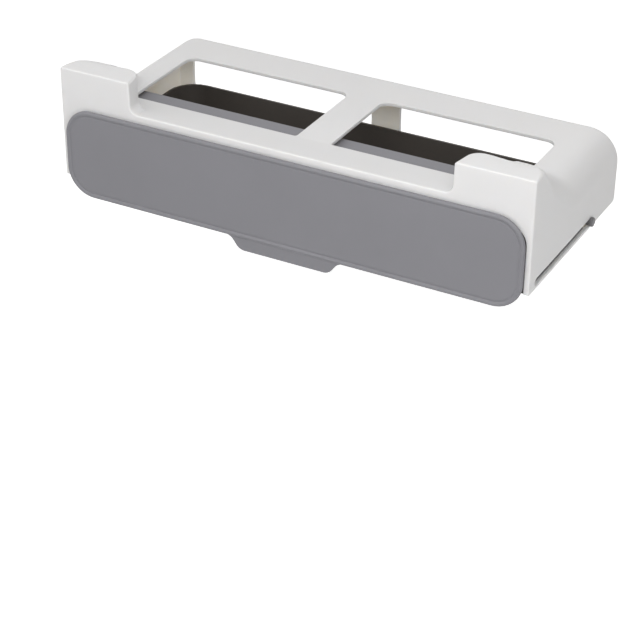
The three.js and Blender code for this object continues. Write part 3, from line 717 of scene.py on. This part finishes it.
def make_lamp(name, azimuth, elevation, distance, width, power):
    """A square soft light that faces the rack's middle."""
    light = bpy.data.lights.new(name, "AREA")
    light.size = width
    light.energy = power
    lamp = bpy.data.objects.new(name, light)
    bpy.context.scene.collection.objects.link(lamp)
    turn, climb = math.radians(azimuth), math.radians(elevation)
    flat = math.cos(climb)
    lamp.location = distance * Vector((flat * math.sin(turn), -flat * math.cos(turn), math.sin(climb)))
    lamp.rotation_euler = (-lamp.location).to_track_quat("-Z", "Y").to_euler()


def make_floor():
    height = cad_low.z - FLOOR_DROP
    bpy.ops.object.select_all(action="DESELECT")
    bpy.ops.mesh.primitive_plane_add(size=FLOOR_SIZE, location=(0, 0, height))
    floor = named("floor")
    material = bpy.data.materials.new("pale floor")
    material.use_nodes = True
    tree = material.node_tree
    tree.nodes.remove(tree.nodes["Principled BSDF"])
    pale = tree.nodes.new("ShaderNodeBsdfDiffuse")
    pale.inputs["Color"].default_value = FLOOR_COLOUR
    lift = tree.nodes.new("ShaderNodeEmission")
    both = tree.nodes.new("ShaderNodeAddShader")
    level = tree.nodes.new("ShaderNodeMapRange")
    level.inputs["To Max"].default_value = FLOOR_LIFT
    tree.links.new(seen_directly(tree), level.inputs["Value"])
    tree.links.new(level.outputs["Result"], lift.inputs["Strength"])
    tree.links.new(pale.outputs["BSDF"], both.inputs[0])
    tree.links.new(lift.outputs["Emission"], both.inputs[1])
    tree.links.new(both.outputs["Shader"], tree.nodes["Material Output"].inputs["Surface"])
    floor.data.materials.append(material)


# Each finish has its roughness, its grain's scale per metre and its grain's depth
grain_group = make_grain_group()
finishes = {
    "white_plastic": moulded(
        "satin white moulding", WHITE, WHITE_DEEP,
        rough=0.42, grain_scale=1500, grain_depth=0.05 * MM, glow=GLOW_OUTSIDE,
    ),
    "grey_plastic": moulded(
        "matt grey moulding", GREY, GREY_DEEP, rough=0.5, grain_scale=1300, grain_depth=0.06 * MM,
    ),
    "dark_plastic": moulded(
        "matt dark moulding", DARK, DARK_DEEP, rough=0.5, grain_scale=1300, grain_depth=0.06 * MM,
    ),
    "pin_plastic": moulded(
        "grey pin moulding", PIN, PIN_DEEP, rough=0.45, grain_scale=1800, grain_depth=0.04 * MM,
    ),
    "washer_plastic": moulded(
        "natural washer moulding", NATURAL, NATURAL_DEEP,
        rough=0.4, grain_scale=2200, grain_depth=0.03 * MM,
    ),
    "steel": moulded(
        "bright plated steel", STEEL, STEEL_DEEP,
        rough=0.3, grain_scale=2600, grain_depth=0.02 * MM, metal=1,
    ),
}
# The housing's inward faces: the same white plastic with painted warm light, a brighter and warmer colour
# and a stronger glow than outside
white_painted_inner_light = moulded(
    "white moulding with painted inner light", WHITE_PAINTED_INNER_LIGHT, WHITE_PAINTED_INNER_LIGHT_DEEP,
    rough=0.5, grain_scale=1500, grain_depth=0.05 * MM, glow=GLOW_INSIDE,
)
# Dark plastic for the runners, made near black as painted shade for the gap seen through the side slots
runner_painted_shade = moulded(
    "runner moulding with painted shade", RUNNER_PAINTED_SHADE, RUNNER_PAINTED_SHADE_DEEP, rough=0.55, grain_scale=1300, grain_depth=0.06 * MM,
)

make_camera()
make_world()
for lamp_name, setting in LAMPS.items():
    make_lamp(lamp_name, *setting)
make_floor()
make_housing()
make_front_panel()
make_turned_pieces()
make_plain_pieces()
bpy.context.scene.view_settings.view_transform = "Standard"
